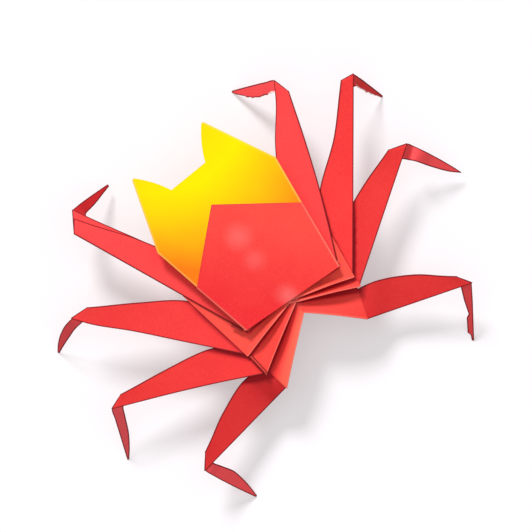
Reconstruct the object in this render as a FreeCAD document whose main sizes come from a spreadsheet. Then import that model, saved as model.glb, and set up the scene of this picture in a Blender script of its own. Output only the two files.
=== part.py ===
"""Origami crab folded from one square sheet, red on its face and yellow on its reverse.

The whole crab is a single sheet, so it is one solid: a back of two layers with two horns, a small pleat
(the hip) for each of the eight legs, stacked like a fan about the hub where they all meet, and the eight
legs. Each leg is a strip folded in half along its length, bent at a knee and tapered to a point.

Plan directions: -Y is forward, towards the horns. +X is the crab's left, which is on the left of a view from
above with the horns at the top. +Z is up. The hub stands over X = 0, Y = 0 while the sheet is built, and the
finished sheet is then moved so that its lowest points are at Z = 0 and its footprint is centred.
"""

import FreeCAD, Part
import Sketcher
import math
import os
import re
from collections import namedtuple

Vector = FreeCAD.Vector

# ---------------------------------------------------------------- driving dimensions, mm and degrees

COMMON = {
    "paper_thickness": 0.12,
    "layer_inset": 0.35,  # how far a lower layer's edge stays back from the edge above it
    "hub_height": 14.0,
    "hub_step": 0.2,  # between one hip and the next at the hub
    "side_step": 0.1,  # how much lower a left hip lies at the hub than the right one of its pair
    "hip_width": 9.5,  # at the outer end, measured like a leg's width
    "hip_lip": 0.7,  # how far a hip reaches over the leg below it, and out past the leg's rear edge
    "hip_overhang": 0.3,
    "wing_lift": 0.3,  # how far a hip's free corner stands off the leg
    "hub_cross": 1.5,  # how far a hip's layers run past the middle at the hub
    "hub_reach": 1.6,  # how much further forward each hip's layers run than those of the hip below
    "hub_rear": 0.7,  # and how much less far rearward
    "hub_notch": 3.9,  # how far behind the hub the notch between the two rearmost hips is
    "notch_cross": 0.4,  # how far those two hips cross the middle there
    "root_width": 7.5,
    "root_tuck": 1.5,
    "root_opening": 0.2,  # between a leg's two layers, at the hip and at the knee
    "knee_opening": 0.4,
    "tip_opening": 0.06,
    "knee_roll": 14.0,
    "knee_dip": 0.75,  # how much lower the knee's outer corner is
    "crook_across": 0.9,  # the crease on the knee's inner side: towards the shin, outward and down
    "crook_along": 0.45,
    "crook_dip": 0.45,
    "tip_width": 0.5,
    "back_pitch": 4.5,
    "back_opening": 0.5,
    "front_reach": 38.9,
    "horn_length": 7.8,
    "horn_spread": 22.0,
    "horn_lean": 0.9,  # both horns lean a little to the crab's left
    "notch_width": 10.6,
    "shoulder_reach": 29.3,
    "shoulder_width": 36.4,
    "rear_reach": 0.6,
    "rear_width": 27.0,
    "rear_skew": 1.1,  # the left rear corner is nearer the head by so much, and the right one further away
    "colour_apex": 30.2,  # reach of the red layer's front edge, in the middle and at the sides
    "colour_sides": 16.9,
    "colour_margin": 0.3,
}

# In plan a leg has a straight rear edge, and its widths are measured forward from that edge.
THIGH_SIZES = (
    "hip_out",  # hip corner from the hub, outward, rearward and down
    "hip_back",
    "hip_drop",
    "bearing",  # rear edge's direction, from straight ahead towards the leg's own side
    "thigh",  # length from hip corner to knee
    "wide_at",  # distance from the hip corner to the widest place, and its width
    "width",
    "fullness",  # extra width halfway from there to the knee
    "hip_roll",  # how far the leg is rolled at the widest place
    "knee_width",
    "knee_height",
    "wing_along",  # the hip's free corner, which lies on the leg; 0 where it has none
    "wing_across",
)
THIGHS = {
    "left_first": (13.7, -1.5, 0.9, 21.3, 47.2, 20.0, 7.9, 0.1, 0.0, 5.0, 13.5, 0.0, 0.0),
    "left_second": (16.4, 3.8, 1.8, 39.2, 40.8, 17.5, 9.8, 0.4, 4.0, 3.4, 12.4, 19.0, 10.9),
    "left_third": (15.7, 9.7, 2.7, 63.8, 35.6, 13.5, 8.7, 0.3, 6.0, 3.0, 12.0, 4.2, 7.5),
    "left_fourth": (14.8, 15.1, 4.0, 96.6, 24.3, 5.0, 8.4, 0.9, 20.0, 3.2, 11.6, 0.0, 0.0),
    "right_first": (13.6, 0.0, 0.9, 23.3, 42.9, 20.0, 8.6, 1.05, 0.0, 2.75, 13.0, 0.0, 0.0),
    "right_second": (14.0, 5.2, 1.8, 39.4, 47.7, 20.5, 8.2, -0.9, 2.0, 3.1, 12.8, 15.7, 8.2),
    "right_third": (13.7, 7.7, 2.7, 57.8, 33.9, 17.0, 8.2, 0.4, 8.0, 3.9, 12.0, 6.8, 7.5),
    "right_fourth": (10.2, 14.5, 4.8, 110.2, 23.8, 6.0, 8.0, 1.0, 20.0, 2.8, 11.4, 0.0, 0.0),
}
SHIN_SIZES = (
    "knee_run",  # from the end of the straight rear edge to the knee's outer corner
    "shin_bearing",
    "shin_reach",  # length of the shin in plan
    "shin_bow",  # how far its outer edge bulges halfway
    "shin_width",  # halfway down
    "tip_height",
    "bend",  # 1 where the shin bends rearward, -1 where it bends forward
)
SHINS = {
    "left_first": (3.3, -93.0, 10.3, 0.35, 2.2, 2.5, -1),
    "left_second": (3.3, 118.0, 9.0, 1.0, 2.3, 0.0, 1),
    "left_third": (3.0, 157.0, 13.0, 0.0, 2.3, 0.0, 1),
    "left_fourth": (3.5, 203.0, 13.9, 0.2, 3.3, 0.0, 1),
    "right_first": (3.7, -64.0, 10.4, 0.1, 3.1, 0.0, -1),
    "right_second": (1.7, 160.0, 8.8, 0.5, 2.3, 0.0, 1),
    "right_third": (3.0, 157.0, 14.7, 0.3, 2.7, 2.5, 1),
    "right_fourth": (3.3, 216.5, 14.1, 0.2, 2.6, 0.0, 1),
}

# Two pieces of the sheet that are joined lie this far inside each other.
OVERLAP = 0.07
# The most of a strip's width that its lower layer stays back, where the strip is narrow.
LARGEST_SETBACK = 0.25

# A cut across a folded strip: the upper layer's top runs from the fold to the edge, and the lower layer is
# open by the opening below that edge.
Station = namedtuple("Station", "fold edge opening")

document = FreeCAD.newDocument("OrigamiCrab")
sheet = document.addObject("Spreadsheet::Sheet", "Dimensions")


def fill_sheet():
    """Writes each dimension to a cell of its own, which takes the dimension's name."""
    rows = dict(COMMON)
    for names, legs in ((THIGH_SIZES, THIGHS), (SHIN_SIZES, SHINS)):
        for leg, values in legs.items():
            for name, value in zip(names, values):
                rows[f"{leg}_{name}"] = value
    for row, (alias, value) in enumerate(rows.items(), start=1):
        sheet.set(f"A{row}", alias)
        sheet.set(f"B{row}", str(value))
        sheet.setAlias(f"B{row}", alias)
    document.recompute()


def size(name):
    return float(sheet.get(name))


def add_feature(label, shape):
    feature = document.addObject("Part::Feature", label)
    feature.Shape = shape
    return feature


def back_slope():
    return math.tan(math.radians(size("back_pitch")))


# ---------------------------------------------------------------- folded paper


def section(station, along, thickness, inset):
    """The eight corners of one cut across a folded strip, in order round it."""
    fold, edge, opening = station
    width = (edge - fold).Length
    across = (edge - fold) / width
    up = along.cross(across).normalize()
    if up.z < 0:
        up = -up
    layer = up * thickness
    setback = min(inset, width * LARGEST_SETBACK)
    lower_edge = edge - across * setback - up * opening - layer
    return [
        fold - layer,
        fold + across * thickness,
        edge,
        edge - layer,
        fold + across * thickness * 2 - layer,
        lower_edge,
        lower_edge - layer,
        fold + across * thickness - layer * 2,
    ]


def end_triangles(corners):
    """The end of a folded strip: its section, cut into triangles."""
    nose, top, edge, under, crotch, lower_top, lower_under, fold_under = corners
    return [
        (nose, top, crotch),
        (top, edge, under),
        (top, under, crotch),
        (crotch, lower_top, lower_under),
        (crotch, lower_under, fold_under),
        (nose, crotch, fold_under),
    ]


def span_triangles(near, far):
    """The paper between two sections. Both faces of a layer are cut along the same diagonal, from the fold
    at the near end to the edge at the far end, so that a twisted layer keeps its thickness."""
    triangles = []
    for k in range(len(near)):
        m = (k + 1) % len(near)
        runs_back_to_fold = k in (3, 6)
        if runs_back_to_fold:
            triangles.append((near[k], near[m], far[k]))
            triangles.append((near[m], far[m], far[k]))
        else:
            triangles.append((near[k], near[m], far[m]))
            triangles.append((near[k], far[m], far[k]))
    return triangles


def closed_solid(triangles):
    faces = []
    for corners in triangles:
        faces.append(Part.Face(Part.makePolygon([*corners, corners[0]])))
    shell = Part.Shell(faces)
    solid = Part.Solid(shell)
    if solid.Volume < 0:
        shell.reverse()
        solid = Part.Solid(shell)
    return solid


def folded_strip(stations, inset):
    """Paper folded in half along its length, as one solid through its stations in order."""
    middles = [(station.fold + station.edge) * 0.5 for station in stations]
    sections = []
    for i, station in enumerate(stations):
        before, after = max(i - 1, 0), min(i + 1, len(middles) - 1)
        along = middles[after] - middles[before]
        sections.append(section(station, along, size("paper_thickness"), inset))
    triangles = end_triangles(sections[0]) + end_triangles(sections[-1])
    for near, far in zip(sections, sections[1:]):
        triangles += span_triangles(near, far)
    return closed_solid(triangles)


def flat_layers(corners, layers):
    """Flat paper of so many layers, given by the corners of its upper face."""
    face = Part.Face(Part.makePolygon([*corners, corners[0]]))
    return face.extrude(Vector(0, 0, -layers * size("paper_thickness")))


# ---------------------------------------------------------------- legs and hips


class Leg:
    """Where one leg's folds are. Its order, from 1 at the front, says how deep its hip is in the stack."""

    def __init__(self, name, order):
        for field in THIGH_SIZES + SHIN_SIZES:
            setattr(self, field, size(f"{name}_{field}"))
        self.order = order
        self.side = 1 if name.startswith("left") else -1
        self.ahead = self.heading(self.bearing)
        self.front = self.heading(self.bearing - 90)
        self.root_height = size("hub_height") - self.hip_drop
        self.hub_level = size("hub_height") - size("hub_step") * (order - 1)
        self.hub_level -= size("side_step") * max(self.side, 0)
        self.hip_slope = (self.hub_level - self.root_height) / math.hypot(self.hip_out, self.hip_back)
        # The shin bends away from the folded side, towards the open one.
        self.fold_across = self.knee_width if self.bend > 0 else 0
        self.edge_across = self.knee_width - self.fold_across

    def heading(self, bearing):
        turn = math.radians(bearing)
        return Vector(self.side * math.sin(turn), -math.cos(turn), 0)

    def place(self, along, across, height):
        corner = Vector(self.side * self.hip_out, self.hip_back, height)
        return corner + self.ahead * along + self.front * across

    def thigh_stations(self):
        """From under the hip to the knee, level at first, then narrower and rolled towards the shin."""
        middle = (self.wide_at + self.thigh) / 2
        middle_width = (self.width + self.knee_width) / 2
        middle_width += self.fullness
        widths = [
            (-size("root_tuck"), size("root_width")),
            (0, size("root_width")),
            (self.wide_at, self.width),
            (middle, middle_width),
            (self.thigh, self.knee_width),
        ]
        stations = []
        for along, width in widths:
            share = max(along, 0) / self.thigh
            roll = self.hip_roll * min(max(along, 0) / self.wide_at, 1)
            roll += (size("knee_roll") - self.hip_roll) * share**3
            height = self.root_height + (self.knee_height - self.root_height) * share**2
            height -= min(along, 0) * self.hip_slope
            opening = size("root_opening") * (1 - share) + size("knee_opening") * share
            rear, front = 0, width
            fold, edge = (front, rear) if self.bend > 0 else (rear, front)
            drop = width * math.tan(math.radians(roll))
            stations.append(
                Station(
                    self.place(along, fold, height),
                    self.place(along, edge, height - drop),
                    opening,
                )
            )
        return stations

    def shin_stations(self, knee):
        """From the knee's outer corner down to the tip."""
        shin_ahead = self.heading(self.shin_bearing)
        inward = -self.ahead
        across = shin_ahead.cross(Vector(0, 0, 1))
        if across * inward < 0:
            across = -across
        corner_height = self.knee_height - size("knee_dip")
        corner = self.place(self.thigh + self.knee_run, self.edge_across, corner_height)
        tip = corner + shin_ahead * self.shin_reach
        tip.z = self.tip_height
        middle = (corner + tip) * 0.5 - across * self.shin_bow
        towards_shin = self.front * -self.bend
        crook = knee.edge + towards_shin * size("crook_across") + self.ahead * size("crook_along")
        crook.z -= size("crook_dip")
        middle_opening = (size("knee_opening") + size("tip_opening")) / 2
        return [
            Station(corner, crook, size("knee_opening")),
            Station(middle, middle + across * self.shin_width, middle_opening),
            Station(tip, tip + across * size("tip_width"), size("tip_opening")),
        ]

    def solid(self):
        thigh = self.thigh_stations()
        return folded_strip(thigh + self.shin_stations(thigh[-1]), size("layer_inset"))

    def hip_layers(self):
        """The pleat from the hub to the leg. It lies on the leg's root and reaches a little past it."""
        layers = 2
        height = self.root_height + layers * size("paper_thickness") - OVERLAP
        front = self.place(size("hip_lip"), size("hip_width"), height)
        rear = self.place(size("hip_lip"), -size("hip_overhang"), height)
        from_bottom = 4 - self.order
        past_middle = -self.side * size("hub_cross")
        hub_front_y = -size("hub_reach") * (from_bottom + 1)
        hub_front = Vector(past_middle, hub_front_y, self.hub_level - hub_front_y * back_slope())
        hub_rear = Vector(past_middle, size("hub_rear") * (1 - from_bottom), self.hub_level)
        if from_bottom == 0:
            hub_rear = Vector(-self.side * size("notch_cross"), size("hub_notch"), self.hub_level)
        before = flat_layers([hub_front, front, rear], layers)
        behind = flat_layers([hub_front, rear, hub_rear], layers)
        pleat = before.fuse(behind)
        if self.wing_along > 0:
            wing = self.place(self.wing_along, self.wing_across, height + size("wing_lift"))
            pleat = pleat.fuse(flat_layers([rear, front, wing], layers))
        return pleat


def make_legs():
    """The eight legs and their hips. The rearmost hip on each side reaches back to the notch."""
    pieces = []
    for side in ("left", "right"):
        for order, place in enumerate(("first", "second", "third", "fourth"), start=1):
            leg = Leg(f"{side}_{place}", order)
            pieces.append(add_feature(f"{side}_{place}_leg", leg.solid()))
            pieces.append(add_feature(f"{side}_{place}_hip", leg.hip_layers()))
    return pieces


# ---------------------------------------------------------------- back


def back_height(y):
    """Height of the back's upper face. It rises towards the horns."""
    layers = 2 * size("paper_thickness") + size("back_opening") - OVERLAP
    return size("hub_height") + layers - y * back_slope()


def back_point(x, y):
    return Vector(x, y, back_height(y))


def back_half(side):
    """Half of the back with its horn: folded along the side, and open below along the middle."""
    half_spread = size("horn_spread") / 2
    half_shoulder = size("shoulder_width") / 2
    half_rear = size("rear_width") / 2
    front = size("front_reach")
    tip_reach = front + size("horn_length")
    lean = side * size("horn_lean")
    tip = half_spread + lean
    share = size("horn_length") / (tip_reach - size("shoulder_reach"))
    at_front = tip + (half_shoulder - tip) * share
    outline = [
        (tip, tip - size("tip_width"), tip_reach),
        (at_front, size("notch_width") / 2 + lean, front),
        (at_front, 0, front - size("paper_thickness")),
        (half_shoulder, 0, size("shoulder_reach")),
        (half_rear, 0, size("rear_reach")),
    ]
    stations = []
    for fold, edge, reach in outline:
        opening = size("back_opening") * (fold - edge) / fold
        skew = side * size("rear_skew") if reach < size("shoulder_reach") else 0
        fold_corner = back_point(side * fold, -reach - skew)
        stations.append(Station(fold_corner, back_point(side * edge, -reach), opening))
    return folded_strip(stations, size("layer_inset"))


def colour_layer():
    """The top layer, which leaves the reverse of the paper showing in front of its V-shaped edge."""
    body = document.addObject("PartDesign::Body", "colour_layer")
    planes = [item for item in body.Origin.OriginFeatures if item.Role == "XY_Plane"]
    outline = body.newObject("Sketcher::SketchObject", "colour_outline")
    outline.AttachmentSupport = [(planes[0], "")]
    outline.MapMode = "FlatFace"
    rough = [Vector(0, -3, 0), Vector(2, -2, 0), Vector(1, -1, 0), Vector(-1, -1, 0), Vector(-2, -2, 0)]
    for start, end in zip(rough, rough[1:] + rough[:1]):
        outline.addGeometry(Part.LineSegment(start, end))
    origin, y_axis = -1, -2
    first, last = 1, 2
    for line in range(len(rough)):
        after = (line + 1) % len(rough)
        outline.addConstraint(Sketcher.Constraint("Coincident", line, last, after, first))
    outline.addConstraint(Sketcher.Constraint("Symmetric", 1, first, 4, first, y_axis))
    narrowing = "(shoulder_width - rear_width) / 2 / (shoulder_reach - rear_reach)"
    half_width = f"shoulder_width / 2 - {narrowing} * (shoulder_reach - colour_sides)"
    distances = [
        ("apex_lean", "DistanceX", 0, "horn_lean"),
        ("apex_reach", "DistanceY", 0, "colour_apex"),
        ("side_half", "DistanceX", 1, f"{half_width} - colour_margin"),
        ("side_reach", "DistanceY", 1, "colour_sides"),
        ("left_half", "DistanceX", 2, "rear_width / 2 - colour_margin"),
        ("left_reach", "DistanceY", 2, "rear_reach + rear_skew + colour_margin"),
        ("right_half", "DistanceX", 3, "rear_width / 2 - colour_margin"),
        ("right_reach", "DistanceY", 3, "rear_reach - rear_skew + colour_margin"),
    ]
    for name, kind, line, value in distances:
        corner = rough[line]
        ends = (origin, 1, line, first) if kind == "DistanceX" else (line, first, origin, 1)
        now = corner.x if kind == "DistanceX" else -corner.y
        number = outline.addConstraint(Sketcher.Constraint(kind, *ends, now))
        outline.renameConstraint(number, name)
        for alias in COMMON:
            value = re.sub(rf"\b{alias}\b", f"Dimensions.{alias}", value)
        if kind == "DistanceY":
            value = f"({value}) / cos(Dimensions.back_pitch * 1deg)"
        outline.setExpression(f"Constraints.{name}", value)
    pad = body.newObject("PartDesign::Pad", "colour_paper")
    pad.Profile = outline
    pad.setExpression("Length", "Dimensions.paper_thickness")
    tilt = FreeCAD.Rotation(Vector(1, 0, 0), -size("back_pitch"))
    body.Placement = FreeCAD.Placement(Vector(0, 0, back_height(0) - OVERLAP / 2), tilt)
    return body


def make_back():
    left = add_feature("left_back", back_half(1))
    right = add_feature("right_back", back_half(-1))
    return [left, right, colour_layer()]


def make_sheet(pieces):
    """One solid of every piece, moved so that it stands on Z = 0 with its footprint centred."""
    folded = document.addObject("Part::MultiFuse", "folded_sheet")
    folded.Label = "folded_sheet"
    folded.Shapes = pieces
    document.recompute()
    box = folded.Shape.BoundBox
    folded.Placement = FreeCAD.Placement(
        Vector(-box.Center.x, -box.Center.y, -box.ZMin), FreeCAD.Rotation()
    )
    document.recompute()
    return folded


def check_document():
    for item in document.Objects:
        if "Invalid" in item.State or "Error" in item.State:
            raise RuntimeError(f"{item.Label} failed: {item.State}")
        if item.isDerivedFrom("Part::Feature"):
            if item.Shape.isNull() or not item.Shape.isValid():
                raise RuntimeError(f"{item.Label} has no valid shape")


fill_sheet()
folded_sheet = make_sheet(make_back() + make_legs())
check_document()
if len(folded_sheet.Shape.Solids) != 1:
    raise RuntimeError(f"the sheet came out as {len(folded_sheet.Shape.Solids)} solids")
os.makedirs("parts", exist_ok=True)
folded_sheet.Shape.exportStep("parts/folded_sheet.step")
box = folded_sheet.Shape.BoundBox
print(f"folded_sheet {box.XLength:.1f} x {box.YLength:.1f} x {box.ZLength:.1f} mm")
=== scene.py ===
# Origami crab: one square of red and yellow paper, folded into a horned back, hip pleats and eight legs.
import math
from collections import namedtuple
import bmesh
import bpy
from mathutils import Matrix, Vector, noise


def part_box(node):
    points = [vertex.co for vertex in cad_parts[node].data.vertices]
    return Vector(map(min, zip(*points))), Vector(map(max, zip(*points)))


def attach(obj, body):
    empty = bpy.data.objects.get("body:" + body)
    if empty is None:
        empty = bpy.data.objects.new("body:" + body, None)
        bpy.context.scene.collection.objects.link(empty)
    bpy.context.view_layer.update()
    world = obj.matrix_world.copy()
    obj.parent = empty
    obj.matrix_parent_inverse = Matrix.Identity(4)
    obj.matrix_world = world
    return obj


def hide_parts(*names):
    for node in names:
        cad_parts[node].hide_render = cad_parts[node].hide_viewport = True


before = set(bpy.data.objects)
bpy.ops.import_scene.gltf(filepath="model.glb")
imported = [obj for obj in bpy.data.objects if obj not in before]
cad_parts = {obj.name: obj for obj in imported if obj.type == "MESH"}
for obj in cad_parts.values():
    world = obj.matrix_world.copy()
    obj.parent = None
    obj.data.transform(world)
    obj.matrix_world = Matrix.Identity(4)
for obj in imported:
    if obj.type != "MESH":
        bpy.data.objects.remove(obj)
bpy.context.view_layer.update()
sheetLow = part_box("folded_sheet")[0]
mm = 0.001

# lengths in millimetres, angles in degrees; X is the crab's left, Y its rear, and 0, 0 is the hub
crab = dict(
    hubFromRight=50.644,  # where the hub is in the sheet's box
    hubFromHead=50.451,
    hubAboveTable=0.239,
    hubHeight=14.0,
)
hub = sheetLow + Vector((crab["hubFromRight"], crab["hubFromHead"], crab["hubAboveTable"])) * mm

paper = dict(
    thickness=0.11,
    foldRadius=0.10,  # to the middle of the sheet
    wave=0.10,  # how far the sheet is from flat, and how long its waves are
    waveLength=13.0,
    rowStep=1.0,  # mesh spacing along a strip
    hem=0.085,  # radius of the turned-in ends, and about how far they reach inwards
    hemDepth=1.2,
    shortReach=0.6,  # how near its end a lower layer is cut short
    layer=0.12,  # what a layer adds where pieces lie on each other
    overlap=0.07,  # how far pieces of the sheet that are joined lie inside each other
)

# one cut across a folded strip: top of the upper layer from fold to edge, gap between the layers at the
# edge, how far each layer stays back from the edge, and the share of the width where inner columns start
Cut = namedtuple("Cut", "fold edge gap upperBack lowerBack split")


def makeCut(fold, edge, gap, upperBack=0.0, lowerBack=0.3, split=0.5):
    return Cut(Vector(fold), Vector(edge), gap, upperBack, lowerBack, split)


class Track:
    # every number of the cuts as a curve through them; smooth ones never overshoot between two cuts
    def __init__(self, cuts, smooth):
        middles = [(cut.fold + cut.edge) / 2 for cut in cuts]
        self.places = [0.0]
        for here, there in zip(middles, middles[1:]):
            self.places.append(self.places[-1] + max((there - here).length, 0.05))
        self.values = [(*c.fold, *c.edge, c.gap, c.upperBack, c.lowerBack, c.split) for c in cuts]
        self.smooth = smooth
        self.slopes = [self.slopesOf([v[k] for v in self.values]) for k in range(len(self.values[0]))]

    def slopesOf(self, values):
        steps = [b - a for a, b in zip(self.places, self.places[1:])]
        rises = [(b - a) / step for a, b, step in zip(values, values[1:], steps)]
        slopes = [rises[0]]
        for before, after in zip(rises, rises[1:]):
            flat = before * after <= 0
            slopes.append(0.0 if flat else 2 * before * after / (before + after))
        return slopes + [rises[-1]]

    def at(self, place):
        place = min(max(place, 0.0), self.places[-1])
        k = 0
        while k < len(self.places) - 2 and place > self.places[k + 1]:
            k += 1
        span = self.places[k + 1] - self.places[k]
        t = (place - self.places[k]) / span
        found = []
        for n, slopes in enumerate(self.slopes):
            a, b = self.values[k][n], self.values[k + 1][n]
            if self.smooth:
                a, b = (
                    a * (1 + 2 * t) * (1 - t) ** 2 + slopes[k] * span * t * (1 - t) ** 2,
                    b * t * t * (3 - 2 * t) - slopes[k + 1] * span * t * t * (1 - t),
                )
                found.append(a + b)
            else:
                found.append(a + (b - a) * t)
        return Cut(Vector(found[0:3]), Vector(found[3:6]), *found[6:])


def smoothStep(low, high, value):
    t = min(max((value - low) / (high - low), 0.0), 1.0)
    return t * t * (3 - 2 * t)


def waveAt(point, seed):
    spot = Vector((point.x, point.y, seed * 7.3)) / paper["waveLength"]
    return noise.noise(spot) * paper["wave"]


def spreadShares(count):
    # from 0 to 1, closer together near both ends
    shares = []
    for k in range(count + 1):
        t = k / count
        shares.append(0.35 * t + 0.65 * (0.5 - 0.5 * math.cos(math.pi * t)))
    return shares


def spreadRows(track, step):
    rows = [0.0]
    for start, end in zip(track.places, track.places[1:]):
        count = max(1, round((end - start) / step))
        rows += [start + (end - start) * (n + 1) / count for n in range(count)]
    return rows


noseColumns = 6  # round a fold
hemTurns = (60, 120, 180, 180)  # how far each of a hem's rows has turned

# where a column of a strip lies: out from the fold, up from the cut's top, its share of the width, how far
# it is from the free edge, which way is inside, and how much room there is inside
Section = namedtuple("Section", "x z share fromEdge inward room")


def axesAt(track, cut, place):
    # along the strip, across it from fold to edge, and up; and how wide it is
    ahead, behind = track.at(place + 0.2), track.at(place - 0.2)
    along = (ahead.fold + ahead.edge - behind.fold - behind.edge).normalized()
    across = cut.edge - cut.fold
    width = across.length
    across /= width
    up = along.cross(across).normalized()
    if up.z < 0:
        up = -up
    return along, across, up, width


def shareAt(k, cut, flat, inner, shares):
    # the share of the width at column k from the fold
    if inner and k > flat:
        return cut.split + (1 - cut.split) * (k - flat) / inner
    return cut.split * shares[k] if inner else shares[k]


def raggedness(look, share, place, width, upper):
    # how far a torn layer stands out, each layer from its own place in the noise
    if not look.get("tear") or share <= 0.5:
        return 0.0
    spot = Vector((place * 1.1, 3.1 if upper else 8.7, look["seed"]))
    ragged = (noise.noise(spot) + 0.6 * noise.noise(spot * 2.7)) * look["tear"]
    return ragged * (smoothStep(0.5, 1, share) * min(1.0, width / 1.5))


def layerSection(cut, look, place, share, width, upper):
    half, radius = paper["thickness"] / 2, look.get("radius", paper["foldRadius"])
    setBack = min(cut.upperBack if upper else cut.lowerBack, width * 0.6)
    reach = width - half - radius - setBack + raggedness(look, share, place, width, upper)
    fromEdge = 99.0 if look.get("closedEdge") else reach * (1 - share)
    spread = 2 * radius + max(cut.gap + 2 * half - 2 * radius, 0) * share
    z = -half if upper else -half - spread
    return Section(half + radius + reach * share, z, share, fromEdge, -1 if upper else 1, spread / 2)


def noseSection(look, turn):
    half, radius = paper["thickness"] / 2, look.get("radius", paper["foldRadius"])
    x = half + radius - radius * math.sin(turn)
    z = -half - radius + radius * math.cos(turn)
    return Section(x, z, 0.0, 99.0, -math.cos(turn), radius)


def turnIn(point, section, outward, up, past, look):
    # the end turns inwards round a small hem, as at an inside reverse fold
    turn = math.radians(hemTurns[past - 1])
    hem = min(paper["hem"], section.room * 0.45)
    point += outward * hem * math.sin(turn) + up * section.inward * hem * (1 - math.cos(turn))
    if past == len(hemTurns):
        depth = look.get("hemDepth", paper["hemDepth"])
        point -= outward * depth * (0.08 + 3.6 * section.share * (1 - section.share))
    return point


def markPaper(v, layers, look, section, place, fromEnd):
    # what the materials read
    half = paper["thickness"] / 2
    v[layers.float_vector["paperPlace"]] = (max(section.x - half, 0.0), section.fromEdge, fromEnd * 2)
    # glow is painted light above 0 and painted shade below it; startShade and slit paint shade into it
    glow = look.get("glow", 0.0)
    if look.get("startShade"):
        glow -= look["startShade"] * (1 - smoothStep(0, look["shadeReach"], place))
    if look.get("slit"):
        glow = look["slit"](v.co, section.share, glow)
    marks = (look.get("back", 0.0), look.get("foldWearAndHighlight", 0.0), glow, look.get("outline", 0.0))
    v[layers.float_color["paperMarksAndPaintedLight"]] = marks
    # painted light: how much paler a thigh or shin is painted
    v[layers.float["paintedLightLift"]] = look.get("paintedLightLift", 0.0)
    if look.get("tear"):
        pale = 1 - 0.7 * smoothStep(look["paleTo"] - 1.5, look["paleTo"], place)
        v[layers.float["torn"]] = smoothStep(0.68, 1.0, section.share) * smoothStep(0, 2, place) * pale


def faceOutwards(bm, grid, spots, perLayer, look):
    # the side that shows is the red face, unless look says reverse
    faces = list({f for v in grid for f in v.link_faces})
    facing = 0.0
    for f in faces:
        f.normal_update()
        if all(spots[v][0] <= perLayer for v in f.verts):
            facing += f.normal.z * f.calc_area()
    if (facing < 0) != bool(look.get("reverse")):
        bmesh.ops.reverse_faces(bm, faces=faces)
    return faces


def foldedStrip(bm, cuts, look):
    # a flat grid, wrapped round the fold: upper layer, round nose, lower layer
    flat, inner = look.get("columns", 9), look.get("innerColumns", 0)
    track = Track(cuts, look.get("smooth", True))
    rows = spreadRows(track, look.get("rowStep", paper["rowStep"]))
    shares = spreadShares(flat)
    perLayer, lastRow, end = flat + inner, len(rows) - 1, track.places[-1]
    columnCount = 2 * perLayer + noseColumns
    rowCount = lastRow + (len(hemTurns) if look.get("hem") else 0)
    grid = bmesh.ops.create_grid(bm, x_segments=columnCount, y_segments=rowCount, size=1)["verts"]
    spots = {}
    for v in grid:
        i = round((v.co.x + 1) / 2 * columnCount)
        j = round((v.co.y + 1) / 2 * rowCount)
        spots[v] = (i, j)
        place = rows[min(j, lastRow)]
        cut = track.at(place)
        along, across, up, width = axesAt(track, cut, place)
        upper, lower = i <= perLayer, i >= perLayer + noseColumns
        if upper or lower:
            k = perLayer - i if upper else i - perLayer - noseColumns
            share = shareAt(k, cut, flat, inner, shares)
            section = layerSection(cut, look, place, share, width, upper)
        else:
            share = 0.0
            section = noseSection(look, math.pi * (i - perLayer) / noseColumns)
        swell = math.sin(math.pi * min(place / track.places[1], 1.0))
        z = section.z + swell * (look.get("ridge", 0.0) * (1 - share) ** 2 - look.get("dip", 0.0) * share)
        point = cut.fold + across * section.x + up * z
        outward = (along - across * along.dot(across)).normalized()
        if lower and place > end - paper["shortReach"]:
            point -= outward * (look.get("lowerShort", 0.0) * smoothStep(0.02, 0.3, share))
        if j > lastRow:
            point = turnIn(point, section, outward, up, j - lastRow, look)
        point.z += waveAt(point, look.get("seed", 0)) * look.get("waveShare", 1.0)
        v.co = point
        markPaper(v, bm.verts.layers, look, section, place, end - place)
    faces = faceOutwards(bm, grid, spots, perLayer, look)
    if look.get("cutAway"):
        gone = [f for f in faces if look["cutAway"]([spots[v] for v in f.verts], rows, track)]
        bmesh.ops.delete(bm, geom=gone, context="FACES")
    return [v for v in grid if v.is_valid]


leg = dict(
    hubStep=0.2,  # how much lower each hip lies at the hub than the one in front of it
    sideStep=0.1,
    rootWidth=7.5,
    rootTuck=0.3,
    rootGap=0.2,
    kneeGap=0.4,
    kneeRoll=14.0,
    kneeRun=3.3,
    beforeKnee=3.0,  # where the thigh starts to narrow to the knee
    underLip=0.35,  # the root ends so far inside the hip's lip
    foldTuck=0.7,
    shinWidth=2.3,
    shinRadius=0.07,
    shinGap=0.12,
    shinUnder=0.18,  # the shin comes out so far below the thigh's upper layer
    shinStart=0.12,  # and so far before the knee
    start=(1.5, 0.3, 0.9),  # its hidden start: before the knee, beyond innerRun, and inside the open edge
    innerRun=2.9,
    tipWidth=0.5,
    tipGap=0.05,
    flapShort=0.3,  # the second layer ends so far before the knee, and lies so far above the thigh
    flapAbove=0.42,
    lowerShort=0.28,  # the lower layer ends so far before the knee
    hipShade=0.1,
    shadeReach=12.0,  # how far painted shade reaches from the hip, and from the knee
    kneeReach=3.0,
    shortWing=2.0,  # a wing no longer than this throws no painted shadow on the leg
    coveredReach=24.0,  # how far from its hip a leg's edge lies on the next leg
    shadowLeft=1.8,  # how wide the painted shadow beside it is, on the left legs and the right ones
    shadowRight=1.0,
    shadowDepth=2.3,
)
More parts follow.
